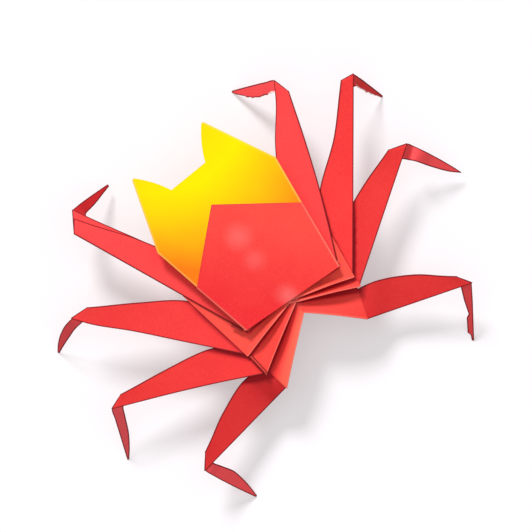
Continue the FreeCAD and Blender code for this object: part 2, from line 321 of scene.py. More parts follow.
# out and back place the hip corner, bearing turns the rear edge from straight ahead, and widths are
# measured forward from that edge; drop is how far the hip lies below the hub; a hip with a wing has an
# outer edge that reaches so far along the leg and across it, and lift raises the wing's end; lip and
# overhang are as in hip
# the thigh is widest at wideAt, where hipRoll turns it, and fuller by fullness further on; kneeRun slants
# its end; bows bulge an edge, and pinch narrows it before the knee; flap adds a second layer on it,
# narrower by that much at the knee
# bend is 1 where the shin turns rearward; profile gives the shin's widths at shares of its length; start
# and innerRun say where it comes out of the thigh; shinLift moves it outwards; crimp is how deep a second
# crease lies; tear makes its free edge ragged, and whitest up to paleTo
# hipGlow is painted light, a warmer, brighter red on the hip, which fades across it as glowTo says;
# thighGlow and shinGlow are painted light, a paler red; shade is painted shade, a deeper red on the
# whole thigh or shin, on the thigh near the hip, up to shadeReach, or on the shin near the knee; slit is
# how wide the painted shadow under the fold above is, where the hip ends
legs = dict(
    leftFirst=dict(
        side=1, order=1, out=13.7, back=-1.5, drop=0.9, bearing=21.3, thigh=47.2, wideAt=20.0, width=7.9,
        kneeWidth=5.0, kneeHeight=13.5, fullness=0.1, hipRoll=0.0, wing=(1.2, 7.5),
        shinBearing=-93.0, shinReach=10.3, shinBow=0.1, tipHeight=2.5, bend=-1, tipWidth=0.6, innerRun=3.6,
        profile=((0.2, 2.8), (0.5, 2.2), (0.8, 1.25)), overhang=-0.4, lip=-0.3, flap=2.05,
        thighGlow=0.2, shinShade=1.0,
    ),
    leftSecond=dict(
        side=1, order=2, out=16.4, back=3.8, drop=1.8, bearing=39.2, thigh=40.7, wideAt=17.5, width=9.8,
        kneeWidth=3.4, kneeHeight=12.4, fullness=0.4, hipRoll=4.0, wing=(19.0, 10.9),
        shinBearing=118.0, shinReach=8.9, shinBow=1.0, tipHeight=0.0, bend=1, kneeBow=0.4, lift=0.3,
        hipGlow=0.5, thighGlow=0.05, shinGlow=0.6,
    ),
    leftThird=dict(
        side=1, order=3, out=15.7, back=9.7, drop=2.7, bearing=63.8, thigh=35.6, wideAt=13.5, width=8.7,
        kneeWidth=3.0, kneeHeight=12.0, fullness=0.3, hipRoll=6.0, wing=(4.2, 7.5),
        shinBearing=157.0, shinReach=12.85, shinBow=0.0, tipHeight=0.0, bend=1, kneeRun=3.0, rearBow=0.4,
        lift=0.5, hipGlow=0.25, shinGlow=1.0,
    ),
    leftFourth=dict(
        side=1, order=4, out=14.8, back=15.1, drop=4.0, bearing=96.6, thigh=24.3, wideAt=5.0, width=8.4,
        kneeWidth=3.2, kneeHeight=11.6, fullness=0.9, hipRoll=20.0,
        shinBearing=203.0, shinReach=13.8, shinBow=0.2, tipHeight=0.0, bend=1, shinWidth=3.3, kneeRun=3.5,
        lip=0.0, hipGlow=1.1, glowTo=(0.12, 0.45), hipShade=0.5, thighShade=0.38,
        kneeShade=0.5, shinGlow=0.7,
    ),
    rightFirst=dict(
        side=-1, order=1, out=13.6, back=0.0, drop=0.9, bearing=23.3, thigh=42.9, wideAt=20.0, width=8.6,
        kneeWidth=2.75, kneeHeight=13.0, fullness=1.05, hipRoll=0.0, wing=(1.2, 7.5),
        shinBearing=-64.0, shinReach=10.4, shinBow=0.1, tipHeight=0.0, bend=-1, shinWidth=3.1, kneeRun=3.7,
        pinch=0.05, rearBow=-0.75, overhang=-0.4, lip=-0.3, tear=0.3, paleTo=5.0,
        thighGlow=0.2, kneeShade=0.6, shinGlow=0.5,
    ),
    rightSecond=dict(
        side=-1, order=2, out=14.0, back=5.2, drop=1.8, bearing=39.4, thigh=47.7, wideAt=20.5, width=8.2,
        kneeWidth=3.1, kneeHeight=12.8, fullness=-0.9, hipRoll=2.0, wing=(15.7, 8.2),
        shinBearing=165.0, shinReach=8.8, shinBow=0.1, tipHeight=0.0, bend=1, shinWidth=1.9, kneeRun=1.7,
        start=(0.4, 0.3, 0.6), lift=0.3, tear=0.25, hipGlow=0.55, kneeShade=0.5, shinGlow=0.1,
    ),
    rightThird=dict(
        side=-1, order=3, out=13.7, back=7.7, drop=2.7, bearing=57.8, thigh=33.7, wideAt=17.0, width=8.2,
        kneeWidth=3.9, kneeHeight=12.0, fullness=0.4, hipRoll=8.0, wing=(6.8, 7.5),
        shinBearing=157.0, shinReach=14.7, shinBow=0.3, tipHeight=2.5, bend=1, shinWidth=2.7, tipWidth=0.25,
        kneeRun=3.0, innerRun=3.9, shinLift=0.5, crimp=0.9, lift=0.4, slit=1.3, hipGlow=0.35,
        hipShade=0.5, shadeReach=24.0, kneeShade=0.8, shinGlow=0.6,
    ),
    rightFourth=dict(
        side=-1, order=4, out=10.2, back=14.5, drop=4.8, bearing=110.2, thigh=23.8, wideAt=6.0, width=8.0,
        kneeWidth=2.8, kneeHeight=11.4, fullness=1.0, hipRoll=20.0,
        shinBearing=216.5, shinReach=13.8, shinBow=0.0, tipHeight=0.0, bend=1, shinSmooth=False,
        profile=((0.3, 2.1), (0.54, 1.1), (0.6, 1.6), (0.86, 1.5), (0.9, 0.8)), overhang=0.1, slit=1.9,
        hipGlow=0.25, hipShade=0.35, thighShade=0.15, kneeShade=0.3, shinGlow=0.5,
    ),
)


def heading(side, bearing):
    turn = math.radians(bearing)
    return Vector((side * math.sin(turn), -math.cos(turn), 0))


def rootHeight(one):
    return crab["hubHeight"] - one["drop"]


def hubLevel(one):
    level = crab["hubHeight"] - leg["hubStep"] * (one["order"] - 1)
    return level - leg["sideStep"] * max(one["side"], 0)


def placeOn(one, along, across, height):
    corner = Vector((one["side"] * one["out"], one["back"], height))
    ahead = heading(one["side"], one["bearing"])
    front = heading(one["side"], one["bearing"] - 90)
    return corner + ahead * along + front * across


def thighCuts(one):
    # the folded side is on the outside of the knee's bend, and the roll lowers the open side
    length, knee = one["thigh"], one["kneeWidth"]
    kneeRun, pinch = one.get("kneeRun", leg["kneeRun"]), one.get("pinch", 0.0)
    middle = (one["wideAt"] + length) / 2
    middleWidth = (one["width"] + knee) / 2 + one["fullness"]
    hipSlope = (hubLevel(one) - rootHeight(one)) / math.hypot(one["out"], one["back"])
    beforeKnee = length - leg["beforeKnee"]
    # the root ends out of sight under the hip's lip
    hidden = one.get("lip", hip["lip"]) - leg["underLip"]
    tucked = (-leg["rootTuck"], hidden) if one["bend"] > 0 else (-leg["foldTuck"], -leg["rootTuck"])
    share = (beforeKnee - middle) / (length - middle)
    stations = [
        (*tucked, leg["rootWidth"]),
        (one["wideAt"] / 2, one["wideAt"] / 2, (leg["rootWidth"] + one["width"]) / 2 + 0.2),
        (one["wideAt"], one["wideAt"], one["width"]),
        (middle, middle, middleWidth),
        (beforeKnee, beforeKnee + kneeRun * 0.4, middleWidth + (knee - middleWidth) * share - pinch),
        (length, length + kneeRun, knee),
    ]
    cuts = []
    for foldAlong, edgeAlong, width in stations:
        share = max(foldAlong, 0) / length
        roll = one["hipRoll"] * min(max(foldAlong, 0) / one["wideAt"], 1)
        roll += (leg["kneeRoll"] - one["hipRoll"]) * share**3
        height = rootHeight(one) + (one["kneeHeight"] - rootHeight(one)) * share**2
        height -= min(foldAlong, 0) * hipSlope
        gap = leg["rootGap"] + (leg["kneeGap"] - leg["rootGap"]) * share
        rearSide = one.get("rearBow", 0.0) * math.sin(math.pi * min(share, 1.0))
        if foldAlong == beforeKnee:
            rearSide -= one.get("kneeBow", 0.0)
        fold, edge = (width, rearSide) if one["bend"] > 0 else (rearSide, width)
        drop = width * math.tan(math.radians(roll))
        foldSpot = placeOn(one, foldAlong, fold, height)
        cuts.append(makeCut(foldSpot, placeOn(one, edgeAlong, edge, height - drop), gap))
    return cuts


def edgeBefore(thigh, distance, inside=0.0):
    # the point on the thigh's open edge that far before the knee, or that far inside the edge
    track = Track(thigh, True)
    place = track.places[-1]
    while place > 0 and (track.at(place).edge - thigh[-1].edge).length < distance:
        place -= 0.05
    cut = track.at(place)
    return cut.edge + (cut.fold - cut.edge).normalized() * inside


def shinCuts(one, thigh):
    # out from between the thigh's layers, and down to the tip
    knee = thigh[-1]
    shinAhead = heading(one["side"], one["shinBearing"])
    inward = -heading(one["side"], one["bearing"])
    across = shinAhead.cross(Vector((0, 0, 1)))
    if across.dot(inward) < 0:
        across = -across
    corner = knee.edge + across * -one.get("shinLift", 0.0) * 0.25
    tip = corner + shinAhead * one["shinReach"]
    tip.z = one["tipHeight"]
    innerRun = one.get("innerRun", leg["innerRun"])
    startInner = edgeBefore(thigh, innerRun)
    # how wide the shin is at shares of its length
    wide, atMiddle = abs((startInner - corner).dot(across)), one.get("shinWidth", leg["shinWidth"])
    nearKnee = wide * 0.5 + atMiddle * 0.5
    nearTip = atMiddle * 0.5 + leg["tipWidth"] * 0.5
    profile = one.get("profile", ((0.2, nearKnee), (0.5, atMiddle), (0.8, nearTip)))
    bows = []
    for share, _ in profile:
        bows.append(corner.lerp(tip, share) - across * one["shinBow"] * 4 * share * (1 - share))
    under = Vector((0, 0, -leg["shinUnder"]))
    startOuter, startInside, inside = one.get("start", leg["start"])
    startCorner = edgeBefore(thigh, leg["shinStart"]) + under
    outer = [edgeBefore(thigh, startOuter, inside) + under, startCorner, *bows, tip]
    inner = [
        edgeBefore(thigh, innerRun + startInside, inside) + under,
        startInner + under,
        *[bow + across * width for bow, (_, width) in zip(bows, profile)],
        tip + across * one.get("tipWidth", leg["tipWidth"]),
    ]
    if one.get("crimp"):
        # a second crease just past the knee, which lies lower
        low = Vector((0, 0, -one["crimp"]))
        outer.insert(2, corner.lerp(outer[2], 0.6) + low)
        inner.insert(2, startInner.lerp(inner[2], 0.7) + low)
    cuts = []
    for n, (a, b) in enumerate(zip(outer, inner)):
        fold, edge = (a, b) if one.get("tear") else (b, a)
        gap = leg["shinGap"] if n < len(outer) - 1 else leg["tipGap"]
        cuts.append(makeCut(fold, edge, gap, 0, 0.1))
    return cuts


def shorterAtKnee(cuts, flap, length):
    # the same leg, lying on the first one, with its open edge further back towards the knee
    found = []
    for n, cut in enumerate(cuts):
        share = smoothStep(0.55, 0.95, n / (len(cuts) - 1))
        inwards = (cut.fold - cut.edge).normalized() * flap * share
        found.append(cut._replace(edge=cut.edge + inwards))
    end = found[-1]
    found[-1] = end._replace(edge=end.edge + (end.fold - cuts[-2].fold).normalized() * -length)
    return found


def coveringLines(name):
    # in plan, the edges that lie over a leg: its hip's outer edge, and the leg before it
    one = legs[name]
    lines = []
    if one.get("wing") and one["wing"][0] > leg["shortWing"]:
        lines.append((placeOn(one, 0, 0, 0), placeOn(one, *one["wing"], 0)))
    for other in legs.values():
        if other["side"] == one["side"] and other["order"] == one["order"] - 1:
            lines.append((placeOn(other, 0, 0, 0), placeOn(other, leg["coveredReach"], 0, 0)))
    return lines


def buildLeg(bm, name):
    one = legs[name]
    thigh = thighCuts(one)
    lines = coveringLines(name)
    width = leg["shadowLeft"] if one["side"] > 0 else leg["shadowRight"]

    def shadow(point, share, glow):
        # painted shadow: the paper is darker beside an edge that lies over it
        dark = 0.0
        for start, end in lines:
            ahead = Vector((end.x - start.x, end.y - start.y, 0))
            reach = ahead.length
            ahead /= reach
            behind = Vector((-ahead.y, ahead.x, 0)) * one["side"]
            along = (point - start).dot(ahead) / reach
            near = 1 - smoothStep(0.1, width, (point - start).dot(behind))
            dark = max(dark, near * (1 - smoothStep(0.6, 1.05, along)))
        return glow - leg["shadowDepth"] * dark

    seed = one["order"] + 10 * one["side"]
    look = dict(
        hem=True, seed=seed, outline=0.9, columns=13, paintedLightLift=one.get("thighGlow", 0.0),
        glow=-one.get("thighShade", 0.0), startShade=one.get("hipShade", leg["hipShade"]),
        shadeReach=one.get("shadeReach", leg["shadeReach"]), lowerShort=leg["lowerShort"], slit=shadow,
    )
    if one.get("flap"):
        foldedStrip(bm, shorterAtKnee(thigh, one["flap"], leg["flapShort"]), look)
        inset = Vector((0, 0, -leg["flapAbove"]))
        thigh = [cut._replace(fold=cut.fold + inset, edge=cut.edge + inset) for cut in thigh]
    foldedStrip(bm, thigh, look)
    shin = dict(
        seed=seed, outline=0.9, rowStep=0.45, waveShare=0.4, radius=leg["shinRadius"],
        paintedLightLift=one.get("shinGlow", 0.0), glow=-one.get("shinShade", 0.0),
        startShade=one.get("kneeShade", 0.0), shadeReach=leg["kneeReach"],
        smooth=one.get("shinSmooth", True), paleTo=one.get("paleTo", 99.0),
    )
    if one.get("tear"):
        shin.update(tear=one["tear"], rowStep=0.2)
    foldedStrip(bm, shinCuts(one, thigh), shin)


# a hip is a pleat from the hub to its leg's root
hip = dict(
    width=9.5,
    lip=0.7,  # past the leg's root, and past its rear edge
    overhang=0.3,
    cornerGap=0.05,  # from the corner to the cuts on either side of it
    gapAtHub=0.03,
    gapAtLeg=0.12,
    # painted light: a warmer, brighter red on the hips
    glow=0.45,
    hubCross=1.5,
    hubReach=1.6,
    hubRear=0.7,
    notch=3.9,
    radius=0.055,
    lastDrop=0.6,
    ridge=1.1,  # between its ends the fold stands up so much, and the side in front of it dips
    dip=1.1,
    slitAtHub=0.3,  # painted shadow, a dark slit under the fold above
    slitWidth=0.95,
    slitDepth=1.6,
)


def hipEnds(name):
    # where a hip's fold starts by the hub and ends by the leg, and where its free edge does
    one = legs[name]
    height = rootHeight(one) + 2 * paper["layer"] - paper["overlap"]
    lip = one.get("lip", hip["lip"])
    front = placeOn(one, lip, hip["width"], height)
    rear = placeOn(one, lip - hip["cornerGap"], -one.get("overhang", hip["overhang"]), height)
    fromBottom = 4 - one["order"]
    pastMiddle = -one["side"] * hip["hubCross"]
    level = hubLevel(one)
    frontY = -hip["hubReach"] * (fromBottom + 1)
    hubFront = Vector((pastMiddle, frontY, level - frontY * backSlope()))
    hubRear = Vector((pastMiddle, hip["hubRear"] * (1 - fromBottom), level))
    if fromBottom == 0:
        # the two rearmost hips are joined along the middle, behind the hub, and lie lower there
        hubFront = Vector((0, frontY, crab["hubHeight"] - leg["hubStep"] * 3 - hip["lastDrop"]))
        hubRear = Vector((0, hip["notch"], hubFront.z))
    return hubRear, hubFront, rear, front


def coveringFold(name):
    # the plan line of the fold that lies over a hip: the next hip's towards the head, or the back's
    one = legs[name]
    if one["order"] == 1:
        rearX = one["side"] * back["rearWidth"] / 2
        rearY = -back["rearReach"] - one["side"] * back["rearSkew"]
        return Vector((0, -back["rearReach"], 0)), Vector((rearX, rearY, 0))
    names = [n for n in legs if legs[n]["side"] == one["side"] and legs[n]["order"] == one["order"] - 1]
    ends = hipEnds(names[0])
    return ends[0], ends[2]


def buildHip(bm, name):
    one = legs[name]
    hubRear, hubFront, rear, front = hipEnds(name)
    cuts = [makeCut(hubRear, hubFront, hip["gapAtHub"]), makeCut(rear, front, hip["gapAtLeg"])]
    if one.get("wing"):
        corner = placeOn(one, hip["lip"] + hip["cornerGap"], -hip["overhang"], rear.z)
        wing = placeOn(one, *one["wing"], rear.z + one.get("lift", 0.0))
        cuts.append(makeCut(corner, wing, hip["gapAtLeg"]))
    start, end = coveringFold(name)
    ahead = Vector((end.x - start.x, end.y - start.y, 0))
    reach = ahead.length
    ahead /= reach
    behind = Vector((-ahead.y, ahead.x, 0)) * one["side"]

    def slit(point, share, glow):
        # painted shadow: dark red close to the fold that lies over it; painted light: warmer red by its own
        # fold
        along = (point - start).dot(ahead) / reach
        width = hip["slitAtHub"] + (one.get("slit", hip["slitWidth"]) - hip["slitAtHub"]) * along
        near = 1 - smoothStep(width * 0.5, width, (point - start).dot(behind))
        near *= 1 - smoothStep(1.0, 1.06, along)
        fade = 1 - smoothStep(*one.get("glowTo", (0.9, 1.0)), share)
        return glow * (1 - near) * fade - hip["slitDepth"] * near

    look = dict(
        smooth=False, hem=True, radius=hip["radius"], ridge=hip["ridge"], dip=hip["dip"], waveShare=0.3,
        seed=3 + one["order"], glow=one.get("hipGlow", hip["glow"]), foldWearAndHighlight=0.4, closedEdge=True, slit=slit,
        hemDepth=0.4, columns=26, rowStep=0.6,
    )
    return foldedStrip(bm, cuts, look)


back = dict(
    pitch=4.5,
    gap=0.5,
    frontReach=38.9,
    hornLength=7.8,
    hornSpread=22.0,
    hornLean=0.9,
    hornBulge=0.5,
    notchWidth=10.6,
    shoulderReach=29.3,
    shoulderWidth=36.4,
    rearReach=0.6,
    rearInset=0.35,  # the yellow layers end so far ahead of the rear edge
    redOverhang=0.1,  # and the red ones so far behind it
    redGap=0.85,
    redTuck=5.0,  # how far the red lower layer ends before the middle
    rearSkew=1.1,  # the left rear corner is so much nearer the head
    rearWidth=27.0,
    colourApex=30.2,  # the red layer's V-shaped front edge
    colourSides=16.9,
    tipWidth=0.5,
)


def backSlope():
    return math.tan(math.radians(back["pitch"]))


def backPoint(x, reach, lift=0.0):
    layers = 2 * paper["layer"] + back["gap"] - paper["overlap"]
    return Vector((x, -reach, crab["hubHeight"] + layers + reach * backSlope() + lift))


def buildYellowLayers(bm, side):
    # half of the back with its horn, in the paper's yellow reverse, folded along the side
    lean = side * back["hornLean"]
    tip = back["hornSpread"] / 2 + lean
    tipReach = back["frontReach"] + back["hornLength"]
    halfShoulder, halfRear = back["shoulderWidth"] / 2, back["rearWidth"] / 2
    share = back["hornLength"] / (tipReach - back["shoulderReach"])
    atFront = tip + (halfShoulder - tip) * share
    notchCorner = back["notchWidth"] / 2 + lean
    notchShare = (atFront - notchCorner) / atFront
    middleRear = back["rearReach"] + back["rearInset"]
    outline = [
        (halfRear, notchShare, middleRear + side * back["rearSkew"]),
        (halfShoulder, notchShare, back["shoulderReach"]),
        (atFront, notchShare, back["frontReach"]),
    ]
    steps = 8
    for n in range(1, steps + 1):
        t = n / steps
        fold = atFront + (tip - atFront) * t
        inside = notchCorner + (tip - back["tipWidth"] - notchCorner) * t
        inside -= back["hornBulge"] * 4 * t * (1 - t)
        outline.append((fold, (fold - inside) / fold, back["frontReach"] + back["hornLength"] * t))
    cuts = []
    for fold, split, reach in outline:
        gap = back["gap"] * min(1.0, (tipReach - reach) / back["hornLength"] * 0.5 + 0.1)
        middleReach = middleRear if reach < back["shoulderReach"] else reach
        cuts.append(makeCut(backPoint(side * fold, reach), backPoint(0, middleReach), gap, 0, 0.35, split))
    columns, innerColumns = 7, 6

    def cutAway(spots, rows, track):
        # ahead of the notch only the horn is left
        frontRow = min(range(len(rows)), key=lambda n: abs(rows[n] - track.places[2]))
        inHorn = min(j for i, j in spots) >= frontRow
        count = 2 * (columns + innerColumns) + noseColumns
        middle = min(min(i for i, j in spots), count - max(i for i, j in spots))
        return inHorn and middle < innerColumns

    look = dict(
        smooth=False, columns=columns, innerColumns=innerColumns, cutAway=cutAway, reverse=True, back=1.0,
        foldWearAndHighlight=0.7, seed=20, waveShare=0.5, radius=0.14, closedEdge=True,
    )
    return foldedStrip(bm, cuts, look)


def buildRedLayers(bm, side):
    # the red layers lie round the yellow ones, with a V-shaped front edge
    halfShoulder, halfRear = back["shoulderWidth"] / 2, back["rearWidth"] / 2
    perReach = (halfShoulder - halfRear) / (back["shoulderReach"] - back["rearReach"])
    atSides = halfShoulder - perReach * (back["shoulderReach"] - back["colourSides"])
    rearReach = back["rearReach"] - back["redOverhang"]
    lift = out = paper["layer"]
    rearCorner = backPoint(side * (halfRear + out), rearReach + side * back["rearSkew"], lift)
    frontCorner = backPoint(side * (atSides + out), back["colourSides"], lift)
    rearMiddle = backPoint(0, rearReach, lift)
    apex = backPoint(back["hornLean"], back["colourApex"], lift)
    cuts = []
    for corner, middle in ((rearCorner, rearMiddle), (frontCorner, apex)):
        cuts.append(makeCut(corner, middle, back["redGap"], 0, back["redTuck"]))
    look = dict(
        smooth=False, columns=12, back=1.0, foldWearAndHighlight=0.7, outline=0.6, seed=20, waveShare=0.5, radius=0.26,
        closedEdge=True,
    )
    return foldedStrip(bm, cuts, look)


# narrow folds that lie in the corners between two hips: start, end and width, from the hub
slivers = [
    ((16.15, 3.9, 12.35), (15.8, 9.3, 12.0), 0.75),
    ((15.2, -4.9, 13.75), (14.1, -2.1, 13.7), 0.5),
]


def buildSlivers(bm):
    for n, (start, end, width) in enumerate(slivers):
        start, end = Vector(start), Vector(end)
        out = Vector((0, 0, 1)).cross(end - start).normalized() * width
        if out.x * start.x < 0:
            out = -out
        # painted light: the slivers are a warmer, brighter red
        look = dict(
            smooth=False, outline=0.9, columns=4, radius=0.06, glow=0.5, rowStep=0.5, waveShare=0.3,
            seed=40 + n,
        )
        foldedStrip(bm, [makeCut(place, place + out, 0.05, 0, 0.1) for place in (start, end)], look)


def weldMiddle(bm, halves, reach=0.05):
    # vertices of the left half that lie on the right half's are joined to them
    left, right = halves
    edges = [{v for v in half if v.is_valid and abs(v.co.x) < 1.2} for half in (left, right)]
    pairs = {}
    for v in edges[0]:
        near = [w for w in edges[1] if (w.co - v.co).length < reach]
        if near:
            pairs[v] = min(near, key=lambda w: (w.co - v.co).length)
    bmesh.ops.weld_verts(bm, targetmap=pairs)


def buildSheets():
    bm = bmesh.new()
    # the paper's marks hold painted light and shade as well as rubbed folds
    bm.verts.layers.float_color.new("paperMarksAndPaintedLight")
    bm.verts.layers.float_vector.new("paperPlace")  # from the fold, the free edge and the end
    bm.verts.layers.float.new("torn")
    bm.verts.layers.float.new("paintedLightLift")
    hips = {}
    for name in legs:
        buildLeg(bm, name)
        hips[name] = buildHip(bm, name)
        print("folded", name)
    weldMiddle(bm, (hips["leftFourth"], hips["rightFourth"]), reach=0.15)
    weldMiddle(bm, (buildYellowLayers(bm, 1), buildYellowLayers(bm, -1)))
    weldMiddle(bm, (buildRedLayers(bm, 1), buildRedLayers(bm, -1)), reach=0.3)
    buildSlivers(bm)
    print("folded the back")
    for v in bm.verts:
        v.co = hub + v.co * mm
    mesh = bpy.data.meshes.new("paper middle")
    bm.to_mesh(mesh)
    bm.free()
    return mesh


paperLook = dict(
    # redDeep to redLight spans painted shade to painted light across the back; redShade is painted shade;
    # redGlow and the bright red for thighs and shins are painted light; the darkest red is painted shade
    # along the edges; yellow turning to orange is painted shade
    redDeep=(236, 40, 46),
    redShade=(170, 12, 26),
    redDots=(200, 10, 22),
    redPale=(252, 96, 90),
    redLight=(250, 74, 64),
    redGlow=(253, 102, 80),
    redPaintedLight=(255, 92, 98),
    redEdgeShade=(100, 0, 12),
    yellow=(255, 230, 0),
    orange=(254, 122, 22),
    wornAndHighlit=(255, 150, 130),
    wornAndHighlitYellow=(255, 205, 110),
    core=(250, 200, 190),  # the sheet's white middle, and how it is stained by the red
    coreStain=(225, 70, 60),
    bare=(255, 216, 210),
    wornAndHighlitWidth=0.6,  # the pale band along a fold, rubbed paper with a painted highlight, in millimetres
    # how far the painted shade along the edges reaches
    edgeShadeWidth=0.38,
    roughness=0.65,
    bump=0.3,
    bumpHeight=0.04,
    mottle=160.0,  # scales of the noises, coarse to fine
    felt=700.0,
    cutFibres=1800.0,
    speck=2400.0,
    grain=3200.0,
    fibres=3600.0,
)
# whitened spots on the back: left of the hub, ahead of it, reach, strength
scuffs = [
    (0.7, 20.1, 4.8, 0.11), (1.2, 13.4, 4.0, 0.08), (0.7, 2.4, 3.8, 0.09), (0.1, 0.4, 3.4, 0.07),
]


class Wire:
    # a socket's value, which Python's own operators can reckon with
    def __init__(self, tree, socket):
        self.tree, self.socket = tree, socket

    def math(self, operation, *terms):
        return addNode(self.tree, "ShaderNodeMath", dict(operation=operation), dict(enumerate(terms)))

    def __add__(self, other):
        return self.math("ADD", self, other)

    __radd__ = __add__

    def __sub__(self, other):
        return self.math("SUBTRACT", self, other)

    def __rsub__(self, other):
        return self.math("SUBTRACT", other, self)

    def __mul__(self, other):
        return self.math("MULTIPLY", self, other)

    __rmul__ = __mul__

    def __truediv__(self, other):
        return self.math("DIVIDE", self, other)

    def __pow__(self, other):
        return self.math("POWER", self, other)

    def clamped(self):
        return self.math("MAXIMUM", self.math("MINIMUM", self, 1.0), 0.0)

    def stepped(self, low, high):
        settings = dict(interpolation_type="SMOOTHSTEP")
        sockets = {0: self, 1: low, 2: high, 3: 0.0, 4: 1.0}
        return addNode(self.tree, "ShaderNodeMapRange", settings, sockets)


def addNode(tree, kind, settings=(), sockets=(), output=0):
    node = tree.nodes.new(kind)
    for name, value in dict(settings).items():
        setattr(node, name, value)
    for name, value in dict(sockets).items():
        if isinstance(value, Wire):
            tree.links.new(value.socket, node.inputs[name])
        else:
            node.inputs[name].default_value = value
    return Wire(tree, node.outputs[output]) if node.outputs else None


def mixColour(tree, share, first, second):
    # colours as Wires or as sRGB triples
    sockets = {0: share}
    for place, colour in ((6, first), (7, second)):
        sockets[place] = colour if isinstance(colour, Wire) else linearColour(colour)
    return addNode(tree, "ShaderNodeMix", dict(data_type="RGBA"), sockets, output=2)


def linearColour(colour):
    def linear(c):
        c /= 255
        return c / 12.92 if c <= 0.04045 else ((c + 0.055) / 1.055) ** 2.4

    return (*[linear(c) for c in colour], 1.0)


def startMaterial(name):
    material = bpy.data.materials.new(name)
    material.use_nodes = True
    tree = material.node_tree
    tree.nodes.clear()
    return material, tree


def addSpot(tree):
    return addNode(tree, "ShaderNodeTexCoord", output=3)


def addNoise(tree, spot, scale, detail):
    return addNode(tree, "ShaderNodeTexNoise", {}, {"Vector": spot, "Scale": scale, "Detail": detail})


def finishPaper(tree, colour, specular=0.2):
    spot = addSpot(tree)
    grain = addNoise(tree, spot, paperLook["grain"], 4.0)
    felt = addNoise(tree, spot, paperLook["felt"], 3.0)
    relief = {"Height": grain * 0.6 + felt * 0.4, "Strength": paperLook["bump"]}
    bump = addNode(tree, "ShaderNodeBump", {}, {**relief, "Distance": paperLook["bumpHeight"] * mm})
    roughness = paperLook["roughness"] + (felt - 0.5) * 0.25
    sockets = {"Base Color": colour, "Roughness": roughness, "Normal": bump, "Specular IOR Level": specular}
    shader = addNode(tree, "ShaderNodeBsdfPrincipled", {}, sockets)
    addNode(tree, "ShaderNodeOutputMaterial", {}, {"Surface": shader})


def crabPlace(tree):
    # millimetres from the hub, towards the crab's left and towards its head
    spot = addSpot(tree)
    x = addNode(tree, "ShaderNodeSeparateXYZ", {}, {0: spot}, output=0)
    y = addNode(tree, "ShaderNodeSeparateXYZ", {}, {0: spot}, output=1)
    return (x - hub.x) * (1 / mm), (hub.y - y) * (1 / mm), spot


def paperMarksAndPaintedLight(tree):
    # what the folding wrote on the sheet, with painted light and shade: glow is painted light above 0 and
    # painted shade below it, outline is painted shade along the edges, and the band along folds is rubbed
    # paper with a painted highlight
    marks = dict(attribute_name="paperMarksAndPaintedLight")
    colour = addNode(tree, "ShaderNodeAttribute", marks)
    onBack, foldWearAndHighlight, glow = [
        addNode(tree, "ShaderNodeSeparateColor", {}, {0: colour}, output=n) for n in range(3)
    ]
    outline = addNode(tree, "ShaderNodeAttribute", marks, output=3)
    torn = addNode(tree, "ShaderNodeAttribute", dict(attribute_name="torn"), output=2)
    place = addNode(tree, "ShaderNodeAttribute", dict(attribute_name="paperPlace"), output=1)
    fromFold, fromEdge, fromEnd = [
        addNode(tree, "ShaderNodeSeparateXYZ", {}, {0: place}, output=n) for n in range(3)
    ]
    # a pale band along the fold: partly rubbed paper, partly a painted highlight on the rounded fold
    foldWearAndHighlight = foldWearAndHighlight * (1 - fromFold.stepped(0.0, paperLook["wornAndHighlitWidth"]))
    nearest = fromFold.math("MINIMUM", fromFold + onBack * 99, fromEdge)
    nearest = nearest.math("MINIMUM", nearest, fromEnd)
    # painted shade: a dark line along the folds and the free edges
    outline = outline * (1 - nearest.stepped(0.1, paperLook["edgeShadeWidth"]))
    return onBack, foldWearAndHighlight, glow, outline, torn


def redPaper():
    material, tree = startMaterial("red face of the paper")
    left, forward, spot = crabPlace(tree)
    onBack, foldWearAndHighlight, glow, outline, torn = paperMarksAndPaintedLight(tree)
    mottle = addNoise(tree, spot, paperLook["mottle"], 5.0)
    speck = addNoise(tree, spot, paperLook["speck"], 3.0)
    # painted light: the back is brighter towards its front and right and deeper towards its rear left;
    # mottle is the paper's own uneven tone
    paintedLightSweep = (0.5 - left / 30 + (forward - 12) / 40).clamped()
    light = onBack * paintedLightSweep + (1 - onBack) * 0.3 + (mottle - 0.5) * 0.5
    colour = mixColour(tree, light.clamped(), paperLook["redDeep"], paperLook["redLight"])
    # painted light: glow above 0 warms the red; painted shade: glow below 0 deepens it
    colour = mixColour(tree, (glow * 0.8).clamped(), colour, paperLook["redGlow"])
    colour = mixColour(tree, (glow * -0.7).clamped(), colour, paperLook["redShade"])
    # painted light: a paler red on thighs and shins
    paintedLightLift = addNode(tree, "ShaderNodeAttribute", dict(attribute_name="paintedLightLift"), output=2)
    colour = mixColour(tree, paintedLightLift.clamped(), colour, paperLook["redPaintedLight"])
    fibres = addNoise(tree, spot, paperLook["fibres"], 2.0)
    dots = (speck - 0.5) * 0.4 + (fibres - 0.5) * 0.6
    colour = mixColour(tree, dots.clamped(), colour, paperLook["redDots"])
    pale = (dots * -1).clamped() * (1 - (glow * -0.7).clamped() * 0.9)
    colour = mixColour(tree, pale, colour, paperLook["redPale"])
    # rubbed paper and a painted highlight along the folds
    colour = mixColour(tree, (foldWearAndHighlight * (0.5 + speck * 0.5)).clamped(), colour, paperLook["wornAndHighlit"])
    for x, y, reach, strength in scuffs:
        away = ((left - x) ** 2 + (forward - y) ** 2) ** 0.5
        scuff = (1 - away.stepped(0.0, reach)) * strength * (0.6 + mottle * 0.8)
        colour = mixColour(tree, scuff.clamped(), colour, paperLook["bare"])
    # painted shade along the edges
    colour = mixColour(tree, outline.clamped(), colour, paperLook["redEdgeShade"])
    ragged = (torn * 1.6 - 0.7 + speck).stepped(0.55, 0.95)
    colour = mixColour(tree, ragged, colour, paperLook["bare"])
    finishPaper(tree, colour)
    return material


